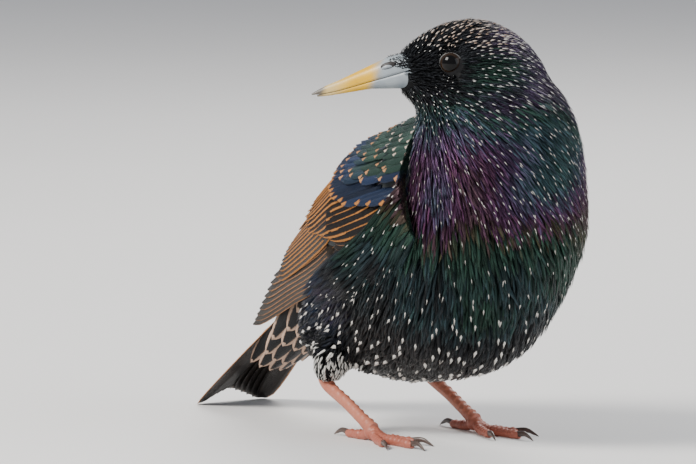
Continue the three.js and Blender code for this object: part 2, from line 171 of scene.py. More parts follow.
def start_material(name, **fixed):
    """A new material, its shader with the sockets that stay the same, and the place on the object."""
    material = bpy.data.materials.new(name)
    material.use_nodes = True
    shader = material.node_tree.nodes["Principled BSDF"]
    for socket, value in fixed.items():
        shader.inputs[socket.replace("_", " ")].default_value = value
    place = Wire(material.node_tree).make("ShaderNodeTexCoord", {}, output="Object")
    return material, shader, place


def feed(shader, **wires):
    for socket, wire in wires.items():
        wire.tree.links.new(wire.socket, shader.inputs[socket.replace("_", " ")])


def shown(name, mesh):
    """A finished mesh as a smooth object at the origin."""
    mesh.polygons.foreach_set("use_smooth", [True] * len(mesh.polygons))
    piece = bpy.data.objects.new(name, mesh)
    bpy.context.scene.collection.objects.link(piece)
    return piece


def placed(name, shape):
    """A finished bmesh, in millimetres, as an object."""
    bmesh.ops.scale(shape, vec=(MM, MM, MM), verts=shape.verts)
    mesh = bpy.data.meshes.new(name)
    shape.to_mesh(mesh)
    shape.free()
    return shown(name, mesh)


floor_shape = bmesh.new()
bmesh.ops.create_grid(floor_shape, x_segments=1, y_segments=1, size=FLOOR_HALF)
floor = placed("floor", floor_shape)
floor_paint, shader, place = start_material("pale_floor", Roughness=0.85)
feed(shader, Base_Color=place.noise(3.0).mixed((0.78, 0.77, 0.75, 1), (0.82, 0.81, 0.8, 1)))
floor.data.materials.append(floor_paint)

# Skin: one closed hide from the bill to the tail and down the thighs, under the coat of feathers. The flesh
# of head, neck, torso and thighs is welded into one and drawn in by the depth of the feathers. The head's
# places run forward along the bill, left and up from the middle of the skull, which is turned back.
FLESH = ["torso", "neck", "head", "thigh_left", "thigh_right"]
WELD = 0.35  # closes the thin cuts between the pieces of flesh
SKIN_VOXEL = 1.3
SOCKET_RADIUS = 3.5
EYE_FORWARD, EYE_UP = 5.7, 0.5  # from the middle of the skull
LEG_SPREAD, THIGH_BACK = 18.5, 20  # each leg from the midline, and its thigh behind the middle of the feet
BODY_DEPTH, HEAD_DEPTH, NECK_DEPTH, THIGH_DEPTH = 2.3, 0.95, 1.9, 1.1  # of the coat

eye_middle = (middle_of("eye_left") + middle_of("eye_right")) / 2
head_up = upright
head_left = middle_of("eye_left") - middle_of("eye_right")
head_left = head_left / np.linalg.norm(head_left)
head_forward = np.cross(head_left, head_up)
skull_middle = eye_middle - head_forward * EYE_FORWARD - head_up * EYE_UP


def on_body(forward, left, up):
    return body_origin + np.stack(np.broadcast_arrays(forward, left, up), -1)


def on_head(forward, left, up):
    f, l, u = (np.asarray(v, float)[..., None] for v in (forward, left, up))
    return skull_middle + f * head_forward + l * head_left + u * head_up


HEAD_BASE, HEAD_BASE_UP = on_head(0, 0, -9.5), (head_forward * 0.3 + head_up) / math.hypot(0.3, 1)
NECK_BASE, NECK_BASE_UP = on_body(38, 0, 83), np.array([0.35, 0, 1]) / math.hypot(0.35, 1)


def blend(value, low, high):
    """Goes smoothly from 0 at low to 1 at high."""
    t = np.clip((value - low) / (high - low), 0, 1)
    return t * t * (3 - 2 * t)


def regions(places):
    """How far each place belongs to the head and to the neck, each from 0 to 1."""
    head = blend((places - HEAD_BASE) @ HEAD_BASE_UP, -4, 5)
    neck = blend((places - NECK_BASE) @ NECK_BASE_UP, -8, 8) * (1 - head)
    return head, neck


def thigh_share(places):
    """1 on the short feathered stocking above each leg, 0 on the body."""
    forward, side, up = (places - body_origin).T
    near = blend(-np.abs(np.abs(side) - LEG_SPREAD), -9, -7) * blend(-np.abs(forward + THIGH_BACK), -11, -8)
    return near * blend(-up, -28, -24)


def coat_depth(places):
    head, neck = regions(places)
    depth = BODY_DEPTH + head * (HEAD_DEPTH - BODY_DEPTH) + neck * (NECK_DEPTH - BODY_DEPTH)
    return depth + thigh_share(places) * (THIGH_DEPTH - depth)


def poured(whole, part):
    """Adds one bmesh to another."""
    loose = bpy.data.meshes.new("loose")
    part.to_mesh(loose)
    part.free()
    whole.from_mesh(loose)
    bpy.data.meshes.remove(loose)


def welded(shape, voxel, soften=0):
    """One closed mesh over all the closed shells of a bmesh."""
    rough = placed("rough", shape)
    weld = rough.modifiers.new("weld", "REMESH")
    weld.mode, weld.voxel_size = "VOXEL", voxel * MM
    if soften:
        smooth = rough.modifiers.new("soften", "SMOOTH")
        smooth.factor, smooth.iterations = soften, 1
    made = bpy.data.meshes.new_from_object(rough.evaluated_get(bpy.context.evaluated_depsgraph_get()))
    bpy.data.meshes.remove(rough.data)
    return made


def smoothed(shape, times):
    axes = {"use_axis_x": True, "use_axis_y": True, "use_axis_z": True}
    for _ in range(times):
        bmesh.ops.smooth_vert(shape, verts=shape.verts, factor=0.5, **axes)


hide = bmesh.new()
for node in FLESH:
    one = bmesh.new()
    one.from_mesh(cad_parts[node].data)
    bmesh.ops.remove_doubles(one, verts=one.verts, dist=1e-6)
    one.normal_update()
    for v in one.verts:
        v.co = v.co / MM + v.normal * WELD
    poured(hide, one)
for node in ("eye_left", "eye_right"):
    ball = bmesh.ops.create_uvsphere(hide, u_segments=24, v_segments=16, radius=SOCKET_RADIUS)["verts"]
    bmesh.ops.translate(hide, verts=ball, vec=middle_of(node))
skin_mesh = welded(hide, SKIN_VOXEL)
hide = bmesh.new()
hide.from_mesh(skin_mesh)
smoothed(hide, 4)
hide.normal_update()
places = np.array([v.co for v in hide.verts]) / MM
for v, depth in zip(hide.verts, coat_depth(places)):
    v.co -= v.normal * float(depth) * MM
smoothed(hide, 2)
bmesh.ops.triangulate(hide, faces=hide.faces)
hide.to_mesh(skin_mesh)
skin_tree = BVHTree.FromBMesh(hide)
hide.free()
skin = shown("skin", skin_mesh)

# The skin has the colours of the feathers over it, darkened to a third and streaked near black: painted shade
# of the depths of the coat, seen between the feathers. The feathers are black with a gloss that changes from
# place to place: violet on the crown, nape and lower neck, green on the cheeks and breast, bronze between
# them, blue on the flanks and none underneath.
BLACK = np.array([0.010, 0.011, 0.013])
GREEN = np.array([0.034, 0.080, 0.060])
TEAL = np.array([0.042, 0.078, 0.092])
BLUE = np.array([0.028, 0.052, 0.125])
VIOLET = np.array([0.078, 0.050, 0.105])
MAGENTA = np.array([0.110, 0.040, 0.092])
BRONZE = np.array([0.075, 0.064, 0.036])
BREAST_BANDS = [(18, BLACK), (38, BLACK), (46, TEAL * 0.45), (56, GREEN * 0.45), (67, GREEN * 0.6),
                (73, BRONZE * 0.6), (80, MAGENTA * 0.7), (86, VIOLET * 0.85), (93, TEAL * 0.9),
                (100, GREEN * 0.75), (107, VIOLET * 0.5)]  # height of each colour on the breast
WHITE_TIP, BUFF_TIP = (0.76, 0.75, 0.71, 1), (0.47, 0.185, 0.042, 1)


def from_head(places):
    away = places - skull_middle
    return away @ head_forward, away @ head_left, away @ head_up


def waves(places, length, seed):
    """A soft random field from -1 to 1 with bumps about this long."""
    draw = np.random.default_rng(seed)
    field = np.zeros(len(places))
    for _ in range(6):
        heading = draw.normal(size=3)
        run = places @ heading / np.linalg.norm(heading)
        field += np.sin(run * 2 * np.pi / length / draw.uniform(0.7, 1.5) + draw.uniform(0, 7))
    return field / 3


def toward(color, target, share):
    return color + (target - color) * np.clip(share, 0, 1)[:, None]


def plumage_color(places):
    forward, _, up = (places - body_origin).T
    bands = [height for height, _ in BREAST_BANDS]
    level = up + 8.5 * waves(places, 23, 1) + 0.10 * (forward - 25)
    color = np.stack([np.interp(level, bands, [c[i] for _, c in BREAST_BANDS]) for i in range(3)], 1)
    flank = blend(-forward, -2, 22) * blend(-up, -66, -50)
    color = toward(color, BLUE * 0.55, flank * 0.8)
    color = toward(color, VIOLET * 0.6, flank * blend(waves(places, 22, 2), 0.1, 0.8))
    color = toward(color, BLACK, blend(-up, -40, -26))
    color *= (1 - 0.45 * blend(-forward, -26, -4) * blend(-up, -84, -64))[:, None]
    back = blend(-forward, -22, 0) * blend(up, 58, 70)
    color = toward(color, GREEN * 0.8, back)
    color = toward(color, TEAL * 0.8, back * blend(waves(places, 16, 3), 0, 0.7))
    head, _ = regions(places)
    f, _, u = from_head(places)
    face = toward(np.tile(BLACK * 1.3, (len(places), 1)), GREEN * 0.6, blend(-f, -3, 6) * blend(-u, -5, 2))
    face = toward(face, VIOLET * 0.7, blend(-f, 0, 14) * blend(u, 1, 7))
    face = toward(face, VIOLET * 0.75, blend(-f, 12, 20))
    face = toward(face, BLACK, blend(f, 6, 12) * blend(-u, 0, 4))
    color = color + (face - color) * head[:, None]
    return color * (1 + 0.25 * waves(places, 9, 4))[:, None]


def bumped(wire, strength, distance):
    inputs = {"Height": wire, "Strength": strength, "Distance": distance}
    return wire.make("ShaderNodeBump", inputs, output="Normal")


def clad(piece, material, slot, *nodes):
    """The piece wears its material, rides on the body and stands for its CAD nodes."""
    piece.data.materials.clear()
    piece.data.materials.append(material)
    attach(piece, "root")
    if nodes:
        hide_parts(*nodes)


def attribute(place, name):
    """The colour and the alpha that a mesh keeps under this name."""
    return (place.make("ShaderNodeAttribute", {}, output=output, attribute_name=name)
            for output in ("Color", "Alpha"))


def feather_material(name, down_barbs, side_barbs, gloss):
    """Feathers glossed in the colour of their place, with slanted barbs and pale edges and tips."""
    material, shader, place = start_material(name, Specular_IOR_Level=0.25)
    vane = place.make("ShaderNodeUVMap", {}, uv_map="Vane")
    across, down = vane.axis("X"), vane.axis("Y")
    sheen, fringe = attribute(place, "sheen")
    marks, both = attribute(place, "marks")
    tip, buff, tone = marks.part("Red"), marks.part("Green"), marks.part("Blue")
    off_shaft = across.away(0.5)
    slant = down * down_barbs - off_shaft * side_barbs + place.noise(900) * 0.5
    barb = (slant * (2 * math.pi)).math("SINE", slant * (2 * math.pi)) * 0.5 + 0.5
    ragged = place.noise(2600, 1) - 0.5
    reach = down + ragged * 0.08 - off_shaft * 0.16
    pale_tip = reach.rise(1.0 - tip, 1.03 - tip) * tip.rise(0.001, 0.01)
    from_edge = across.math("MINIMUM", across, 1 - across * both)
    width = fringe * (1 + both * (down - 0.6))
    edge = (from_edge + ragged * 0.12).rise(width, width * 0.55) * fringe.rise(0.001, 0.01)
    pale = pale_tip.larger(edge)
    shade = tone * (barb * 0.8 + 0.5)
    lit = place.make("ShaderNodeVectorMath", {0: sheen, "Scale": shade}, operation="SCALE")
    spot = buff.mixed(WHITE_TIP, BUFF_TIP)
    spot = place.make("ShaderNodeVectorMath", {0: spot, "Scale": barb * 0.3 + 0.75}, operation="SCALE")
    feed(shader, Base_Color=pale.mixed(lit, spot), Metallic=(1 - pale) * gloss,
         Roughness=pale * 0.3 + (0.32 + barb * 0.14), Normal=bumped(barb + ragged * 0.6, 0.5, 0.0001))
    return material


coat_finish = feather_material("feather_coat", 1.6, 5, 0.75)
# Painted shade: the hide under the coat is painted as the coat in its own shade, streaked near black.
hide_shade_finish, shader, place = start_material("hide_under_feathers", Specular_IOR_Level=0.1)
sheen, _ = attribute(place, "sheen")
streak = place.noise(700, 3)
feed(shader, Base_Color=(streak * 0.6).mixed(sheen, (0.004, 0.004, 0.005, 1)), Roughness=0.5 + streak * 0.3,
     Normal=bumped(streak, 0.6, 0.0003))
skin_places = np.array([v.co for v in skin.data.vertices]) / MM
under = np.ones((len(skin_places), 4), np.float32)
# painted shade: the colours of the feathers over the skin at a third, for the shade deep in the coat
under[:, :3] = plumage_color(skin_places) * 0.3
skin.data.color_attributes.new("sheen", "FLOAT_COLOR", "POINT").data.foreach_set("color", under.ravel())
clad(skin, hide_shade_finish, "plumage", *FLESH)

# Coat: each small feather is a thin pointed blade with a raised shaft. They grow all over the skin, spaced
# evenly, and lie back from the bill over the head, down the neck and round the body to the vent. Most are
# plain, and the rest, which stand a little higher, end in a pale spot.
BILL_ROOT, VENT = on_head(21, 0, -3), on_body(-62, 0, 24)
FLOW_FADE = 1.9  # how fast the pull of the bill and of the vent fades with the distance from them
ROW_S = np.array([0, 0.25, 0.55, 0.82, 1.0])  # a blade's rings of four corners and its tip, along it
ROW_RISE = np.array([-0.35, 0.25, 0.62, 0.88, 1.0])  # how far each stands off, from in the skin to full lift
BLADE_CORNERS = 17
TRIES, CLOSEST = 3.2, 0.92  # places tried for each root that is kept, and its least share of the spacing
WING_CLEAR, EYE_CLEAR, LID_CLEAR = 1.3, 3.3, 3.1
BETWEEN_EYES = 4  # half the width of the band of the head that no eye reaches
UV_PATCH = 0.003  # the share of the baked map that each small feather spreads over
skin_corners = np.array([p.vertices for p in skin.data.polygons])
corner_places = skin_places[skin_corners]
corner_normals = np.array([v.normal for v in skin.data.vertices])[skin_corners]
edges = corner_places[:, 1:] - corner_places[:, :1]
face_areas = np.linalg.norm(np.cross(edges[:, 0], edges[:, 1]), axis=1) / 2
face_middles = corner_places.mean(1)


def joined_tree(*meshes):
    """Meshes to measure from, as one."""
    joined = bmesh.new()
    for mesh in meshes:
        joined.from_mesh(mesh)
    tree = BVHTree.FromBMesh(joined)
    joined.free()
    return tree


wing_trees = [joined_tree(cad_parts[node].data) for node in ("wing_left", "wing_right")]


def unit(vectors):
    return vectors / np.maximum(np.linalg.norm(vectors, axis=-1, keepdims=True), 1e-9)


def lie(places, normals):
    """The way that the feathers lie at each place, along the skin."""
    head, neck = regions(places)
    from_bill, to_vent = places - BILL_ROOT, VENT - places
    flow = from_bill / (np.linalg.norm(from_bill, axis=1) ** FLOW_FADE)[:, None]
    pull = (1 - 0.85 * head) * (1 - 0.35 * neck)
    flow = flow + to_vent / (np.linalg.norm(to_vent, axis=1) ** FLOW_FADE)[:, None] * (1.35 * pull)[:, None]
    flow = unit(flow)
    flow = flow + (np.array([-0.15, 0, -1]) - flow) * thigh_share(places)[:, None]
    return unit(flow - normals * (flow * normals).sum(1)[:, None])


def clear_of(roots, normals):
    """True for the roots that no wing, eye or bill covers."""
    keep = np.ones(len(roots), bool)
    for i, (root, normal) in enumerate(zip(roots, normals)):
        over = Vector((root + normal * WING_CLEAR * 2) * MM)
        keep[i] = all(tree.find_nearest(over, WING_CLEAR * MM)[0] is None for tree in wing_trees)
    f, l, u = from_head(roots)
    keep &= (np.hypot(f - EYE_FORWARD, u - EYE_UP) > EYE_CLEAR) | (np.abs(l) < BETWEEN_EYES)
    before_bill = np.interp(u, [-7, -2, 0, 3], [18.4, 18.4, 20, 21.5])
    return keep & ~((np.abs(l) < 6) & (u > -7.2) & (f > before_bill))


def scattered(share, spacing, seed):
    """Roots spread evenly over the bare skin where share(places) says, with their normals."""
    draw = np.random.default_rng(seed)
    weight = face_areas * share(face_middles)
    count = int(weight.sum() / spacing**2 * TRIES)
    chosen = draw.choice(len(weight), count, p=weight / weight.sum())
    corner = draw.dirichlet([1, 1, 1], count)
    roots = (corner_places[chosen] * corner[:, :, None]).sum(1)
    normals = unit((corner_normals[chosen] * corner[:, :, None]).sum(1))
    taken, kept = {}, []
    cells = np.floor(roots / spacing).astype(int)
    around = [(i, j, k) for i in (-1, 0, 1) for j in (-1, 0, 1) for k in (-1, 0, 1)]
    for index, (root, cell) in enumerate(zip(roots, cells)):
        near = (taken.get((cell[0] + i, cell[1] + j, cell[2] + k)) for i, j, k in around)
        if all(other is None or math.dist(root, other) > spacing * CLOSEST for other in near):
            taken[tuple(cell)] = root
            kept.append(index)
    roots, normals = roots[kept], normals[kept]
    clear = clear_of(roots, normals)
    return roots[clear], normals[clear]


def skin_wrap(places):
    """Each place on an unwrap of the skin: round it, and along it from the bill to the tail."""
    spine = np.array([on_head(16, 0, -3), on_head(-8, 0, -6), on_body(38, 0, 84), on_body(20, 0, 60),
                      on_body(-10, 0, 48), on_body(-50, 0, 40)])
    spans = spine[1:] - spine[:-1]
    lengths = np.linalg.norm(spans, axis=1)
    best = np.full(len(places), np.inf)
    wrap = np.zeros((len(places), 2))
    for start, span, length, passed in zip(spine, spans, lengths, np.cumsum(lengths) - lengths):
        t = np.clip(((places - start) @ span) / length**2, 0, 1)
        away = places - start - t[:, None] * span
        heading = span / length
        level = unit(np.cross([0.3, -0.5, 0.8], heading))
        angle = np.arctan2(away @ level, away @ np.cross(heading, level))
        far = np.linalg.norm(away, axis=1)
        nearer = far < best
        here = np.stack([angle / (2 * np.pi) + 0.5, (passed + t * length) / lengths.sum()], 1)
        wrap[nearer] = here[nearer]
        best = np.minimum(best, far)
    return 0.01 + wrap * 0.98


def array_piece(name, places, faces, vane, wrap, sheen, marks):
    """Many blades as one mesh, with the map across each vane, the skin's unwrap, and their colours."""
    mesh = bpy.data.meshes.new(name)
    mesh.from_pydata((places * MM).tolist(), [], faces)
    corners = np.zeros(len(mesh.loops), np.int32)
    mesh.loops.foreach_get("vertex_index", corners)
    for layer, uv in (("Vane", vane), ("OFBake", wrap + (vane - 0.5) * UV_PATCH)):
        mesh.uv_layers.new(name=layer).data.foreach_set("uv", uv[corners].astype(np.float32).ravel())
    for label, values in (("sheen", sheen), ("marks", marks)):
        layer = mesh.color_attributes.new(label, "FLOAT_COLOR", "POINT")
        layer.data.foreach_set("color", values.astype(np.float32).ravel())
    return shown(name, mesh)


def small_feathers(name, roots, normals, sizes, seed, outline, tree=skin_tree, heading=None):
    """Blades that follow a surface from their roots. Their sizes are length, half width, lift, pale share of
    the blade, and how buff that is, each one number for all or one for each."""
    draw = np.random.default_rng(seed)
    count = len(roots)
    length, half, lift, tip, buff = (np.broadcast_to(np.asarray(size, float), count) for size in sizes)
    length = length * draw.uniform(0.85, 1.15, count)
    f, l, u = from_head(roots)
    eye_gap = np.hypot(f - EYE_FORWARD, u - EYE_UP) - LID_CLEAR
    before_eye = (np.abs(l) > BETWEEN_EYES) & (eye_gap < 6) & (f > EYE_FORWARD - 1)
    length = np.where(before_eye, np.minimum(length, np.maximum(eye_gap, 0.8)), length)
    heading = lie(roots, normals) if heading is None else heading
    heading = unit(heading + draw.normal(scale=0.12, size=(count, 3)))
    centres = np.zeros((count, len(ROW_S), 3))
    ups = np.zeros_like(centres)
    for i in range(count):
        for row, s in enumerate(ROW_S):
            reach = Vector((roots[i] + heading[i] * length[i] * s) * MM)
            spot, up, _, _ = tree.find_nearest(reach)
            centres[i, row], ups[i, row] = np.array(spot) / MM, up
    ups = unit(ups + 0.5 * ups.mean(1, keepdims=True))
    rise = lift[:, None] * ROW_RISE * draw.uniform(0.8, 1.12, (count, 1))
    centres = centres + ups * rise[:, :, None]
    runs = unit(np.gradient(centres, axis=1))
    sides = unit(np.cross(ups, runs))
    widths = np.array(outline) * half[:, None]
    rings = []
    for across, raised in ((-1, -0.12), (0, 0.14), (1, -0.12), (0, -0.1)):
        wide = widths[:, :, None] * across
        rings.append(centres[:, :4] + sides[:, :4] * wide + ups[:, :4] * (widths * raised)[:, :, None])
    body = np.stack(rings, 2).reshape(count, 16, 3)
    places = np.concatenate([body, centres[:, 4:]], 1)
    faces = [[ring * 4 + k, ring * 4 + (k + 1) % 4, ring * 4 + 4 + (k + 1) % 4, ring * 4 + 4 + k]
             for ring in range(3) for k in range(4)]
    faces += [[12 + k, 12 + (k + 1) % 4, 16] for k in range(4)] + [[3, 2, 1, 0]]
    every = [[corner + BLADE_CORNERS * i for corner in face] for i in range(count) for face in faces]
    vane = np.array([[u, v] for v in ROW_S[:4] for u in (0, 0.5, 1, 0.5)] + [[0.5, 1]])
    wrap = np.repeat(skin_wrap(roots), BLADE_CORNERS, axis=0)
    sheen = np.zeros((count, BLADE_CORNERS, 4))
    sheen[:, :, :3] = plumage_color(centres[:, 2] + draw.normal(scale=1.8, size=(count, 3)))[:, None]
    marks = np.ones((count, BLADE_CORNERS, 4))
    marks[:, :, 0], marks[:, :, 1] = tip[:, None], buff[:, None]
    marks[:, :, 2] = draw.uniform(0.4, 1.9, count)[:, None]
    piece = array_piece(name, places.reshape(-1, 3), every, np.tile(vane, (count, 1)), wrap,
                        sheen.reshape(-1, 4), marks.reshape(-1, 4))
    clad(piece, coat_finish, "plumage")


def head_share(places):
    return regions(places)[0]


def crown_share(places):
    f, _, u = from_head(places)
    return head_share(places) * blend(u, 3, 6) * blend(f, -12, -4)


def neck_share(places):
    return regions(places)[1]


def torso_share(places):
    head, neck = regions(places)
    return (1 - head - neck) * (1 - thigh_share(places))


def back_share(places):
    forward, _, up = (places - body_origin).T
    return blend(-forward, -26, -8) * blend(up, 57, 65)


def front_share(places):
    return torso_share(places) * (1 - back_share(places))


def mantle_share(places):
    return torso_share(places) * back_share(places)


def head_length(roots):
    f, _, u = from_head(roots)
    by_place = np.interp(-f, [-24, -18, -6, 8, 20], [1.7, 2.3, 4.2, 6.0, 8.0])
    return by_place * np.interp(u, [-12, -6, 0], [1.35, 1.2, 1])


def breast_length(roots):
    forward, side, up = (roots - body_origin).T
    from_thigh = np.hypot(forward + THIGH_BACK, np.abs(side) - LEG_SPREAD)
    by_leg = blend(-from_thigh, -17, -9) * blend(-up, -40, -30)
    return np.interp(up, [18, 35, 60, 85], [8.5, 12.5, 13.5, 11]) * (1 - 0.6 * by_leg)


def breast_spot_half(roots):
    return np.interp(roots[:, 2], [22, 42, 60], [0.95, 0.7, 0.46])


def head_tip(roots):
    """Pale tips all over the head but on the black face between eye and bill."""
    f, _, u = from_head(roots)
    return 0.27 * (1 - blend(f, 8, 11) * blend(u, -7, -5) * blend(-u, -2.4, -1))


def head_buff(roots):
    return 0.6 * crown_share(roots)


def crown_tip(roots):
    return np.interp(from_head(roots)[0], [0, 12], [0.36, 0.44])


def crown_buff(roots):
    return np.interp(from_head(roots)[0], [-8, 2, 10, 16], [0.1, 0.42, 0.4, 0.12])


def breast_tip(roots):
    return np.interp(roots[:, 2], [20, 36, 60], [0.38, 0.27, 0.15])


SLIM, FULL = (0.35, 0.9, 1, 0.6), (0.4, 0.9, 1, 0.7)  # widths of a blade's rings from its root
COAT = [
    # name, share, spacing, length, half width, outline, pale share of the blade, how buff it is
    ("head_coat", head_share, 0.6, head_length, 0.25, SLIM, 0, 0),
    ("neck_coat", neck_share, 0.72, 9.5, 0.33, SLIM, 0, 0),
    ("breast_coat", front_share, 1.15, breast_length, 0.54, FULL, 0, 0),
    ("back_coat", mantle_share, 1.9, 10, 1.2, FULL, 0, 0),
    ("thigh_coat", thigh_share, 0.9, 3.8, 0.5, FULL, 0, 0),
    ("head_spots", head_share, 1.4, head_length, 0.25, SLIM, head_tip, head_buff),
    ("crown_spots", crown_share, 1.35, head_length, 0.29, FULL, crown_tip, crown_buff),
    ("neck_spots", neck_share, 2.0, 10, 0.42, SLIM, 0.17, 0.08),
    ("breast_spots", front_share, 4.0, breast_length, breast_spot_half, FULL, breast_tip, 0.08),
    ("back_spots", mantle_share, 3.2, 10.5, 1.4, FULL, 0.26, 0.85),
    ("thigh_spots", thigh_share, 0.95, 4.2, 0.4, FULL, 0.6, 0),
]
for number, (name, share, spacing, length, half, outline, tip, buff) in enumerate(COAT):
    spotted = name.endswith("spots")
    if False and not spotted:
        spacing = spacing * 1.5
    roots, normals = scattered(share, spacing, 10 + number)
    length, half, tip, buff = (size(roots) if callable(size) else size for size in (length, half, tip, buff))
    lift = coat_depth(roots) * (1.1 if spotted else 0.95)
    small_feathers(name, roots, normals, (length, half, lift, tip, buff), 40 + number, outline)

# Shoulders: longer feathers of the neck, which drape back over the bend of each folded wing, so that no
# seam shows in front of it. They grow from the skin beside the wings and lie on both.
DRAPE_LENGTH, DRAPE_BACK = 14, np.array([-1, 0, -0.3])
DRAPE = [
    # name, spacing, half width, lift, pale share of the blade, seed
    ("shoulder_coat", 0.9, 0.45, 2.0, 0, 61),
    ("shoulder_spots", 1.9, 0.42, 2.3, 0.16, 62),
]


def by_wing(places):
    """1 just in front of a wing, 0 farther off."""
    spots = [Vector(place) * MM for place in places]
    near = np.array([min(tree.find_nearest(spot)[3] for tree in wing_trees) for spot in spots]) / MM
    return blend(-near, -7, -5) * blend(places[:, 0] - body_origin[0], 4, 12) * (1 - head_share(places))


drape_tree = joined_tree(skin.data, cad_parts["wing_left"].data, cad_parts["wing_right"].data)
for name, spacing, half, lift, tip, seed in DRAPE:
    roots, normals = scattered(by_wing, spacing, seed)
    back = unit(lie(roots, normals) * 0.55 + DRAPE_BACK * 0.75)
    small_feathers(name, roots, normals, (DRAPE_LENGTH, half, lift, tip, 0.1), seed, (0.4, 0.9, 1, 0.6),
                   drape_tree, back)

# Wings: folded on the flanks, the long dark flight feathers edged with orange buff, and over their roots
# rows of coverts that get smaller, bluer and greener up to the shoulder. Each is a thin arched blade with a
# raised shaft.
WING_LENGTH = 122
WING_S = [0, 0.35, 0.7, 1]  # stations from the bend of the wing to its tip
BARREL_FORWARD, BARREL_UP = [34, -5, -43, -76], [70, 57, 42, 27]
BARREL_RISE, BARREL_OUT = [29.5, 28, 15, 8], [28.5, 28, 18, 9.5]
BARREL_LEAN = 0.38
SOOT = np.array([0.016, 0.012, 0.010])
UMBER = np.array([0.050, 0.034, 0.020])
BLADE_THICK, SHAFT_HIGH = 0.24, 0.16
BLADE_S = np.array([0, 0.12, 0.26, 0.41, 0.56, 0.69, 0.8, 0.88, 0.94, 0.98, 1.0])  # rows along a blade
BLADE_C = np.array([-1, -0.6, -0.1, 0.1, 0.6, 1])  # and columns across it
FLIGHT = np.interp(BLADE_S, [0, 0.1, 0.3, 0.6, 0.86, 0.95, 1], [0.3, 0.7, 0.95, 1, 0.84, 0.62, 0.2])
COVERT = np.interp(BLADE_S, [0, 0.25, 0.55, 0.8, 0.92, 1], [0.4, 0.85, 1, 0.92, 0.7, 0.25])
POINTED = np.interp(BLADE_S, [0, 0.25, 0.5, 0.75, 0.92, 1], [0.4, 0.9, 1, 0.78, 0.42, 0.06])
FLIGHTS = [
    # count, root, its angles, ends, their angles, half width, lift at the root and at the ends, tilt, colour,
    # fringe, pale tip, buff, bow
    (9, 44, (-9, 12), (122, 99), (-2, 32), 3.4, -0.7, (-0.9, 0.6), 0.5, UMBER * 0.4, 0.055, 0.02, 0.9, 4),
    (10, 42, (10, 38), (92, 88), (16, 56), 3.5, 0.2, (1.0, 1.9), 0.5, UMBER * 0.5, 0.1, 0.03, 1.0, 0),
    (4, 38, (44, 66), (84, 70), (60, 76), 4.6, 0.6, (2.3, 2.7), 0.5, SOOT * 1.5, 0.09, 0.04, 1.0, 0),
    (6, 8, (-7, 6), (44, 39), (-7, 5), 2.6, 0.2, (0.9, 1.9), 0.4, SOOT, 0.05, 0.015, 0.9, 0),
]
vane_finish = feather_material("large_vanes", 70, 26, 0.35)
wing_draw = np.random.default_rng(5)


def blade_faces():
    """The faces of one blade, top, underside and rim, and how many corners they have."""
    rows, columns = len(BLADE_S), len(BLADE_C)
    top = [[r * columns + c, r * columns + c + 1, (r + 1) * columns + c + 1, (r + 1) * columns + c]
           for r in range(rows - 1) for c in range(columns - 1)]
    lower = rows * columns
    bottom = [[corner + lower for corner in reversed(face)] for face in top]
    rim = list(range(columns)) + [r * columns + columns - 1 for r in range(1, rows)]
    rim += [(rows - 1) * columns + c for c in range(columns - 2, -1, -1)]
    rim += [r * columns for r in range(rows - 2, 0, -1)]
    wall = [[b, a, a + lower, b + lower] for a, b in zip(rim, rim[1:] + rim[:1])]
    return top + bottom + wall, 2 * lower


def to_left(spots):
    """Places on the right side, mirrored."""
    return spots * [1, -1, 1] + [0, 2 * body_origin[1], 0]


def large_feathers(name, surface, blades, slot, nodes=(), mirrored=False, seed=1, finish=vane_finish):
    """Each blade is the place of its corners on the surface, its colour, its fringe, its pale tip, how buff
    these are, and whether both edges have a fringe."""
    draw = np.random.default_rng(seed)
    template, corners = blade_faces()
    places, faces, vane, wrap, sheen, marks = [], [], [], [], [], []
    cells = math.ceil(math.sqrt(len(blades)))
    for i, (place_at, color, fringe, tip, buff, both) in enumerate(blades):
        s, c = (grid.ravel() for grid in np.meshgrid(BLADE_S, BLADE_C, indexing="ij"))
        shaft = SHAFT_HIGH * (np.abs(c) < 0.2) * (1 - s * 0.6)
        spots = [place_at(s, c, BLADE_THICK + shaft), place_at(s, c, 0 * s)]
        spots = np.concatenate([surface(*spot) for spot in spots])
        places.append(to_left(spots) if mirrored else spots)
        turned = [face[::-1] for face in template] if mirrored else template
        faces += [[corner + i * corners for corner in face] for face in turned]
        flat = np.tile(np.stack([(c + 1) / 2, s], 1), (2, 1))
        vane.append(flat)
        own_cell = (np.array([i % cells, i // cells]) + 0.06 + flat * 0.88) / cells
        wrap.append(own_cell - (flat - 0.5) * UV_PATCH)
        sheen.append(np.tile([*color, fringe], (corners, 1)))
        marks.append(np.tile([tip, buff, draw.uniform(0.8, 1.2), 1], (corners, 1)))
        marks[-1][:, 3] = both
    piece = array_piece(name, np.concatenate(places), faces, np.concatenate(vane), np.concatenate(wrap),
                        np.concatenate(sheen), np.concatenate(marks))
    clad(piece, finish, slot, *nodes)


def on_barrel(u, phi, h):
    """From the bend of the wing u along it, phi degrees up round the barrel, h off it; the right wing."""
    s = u / WING_LENGTH
    rise = (np.interp(s, WING_S, BARREL_RISE) + h) * np.sin(np.radians(phi))
    out = (np.interp(s, WING_S, BARREL_OUT) + h) * np.cos(np.radians(phi))
    forward = np.interp(s, WING_S, BARREL_FORWARD) - rise * BARREL_LEAN
    return on_body(forward, -out, np.interp(s, WING_S, BARREL_UP) + rise)


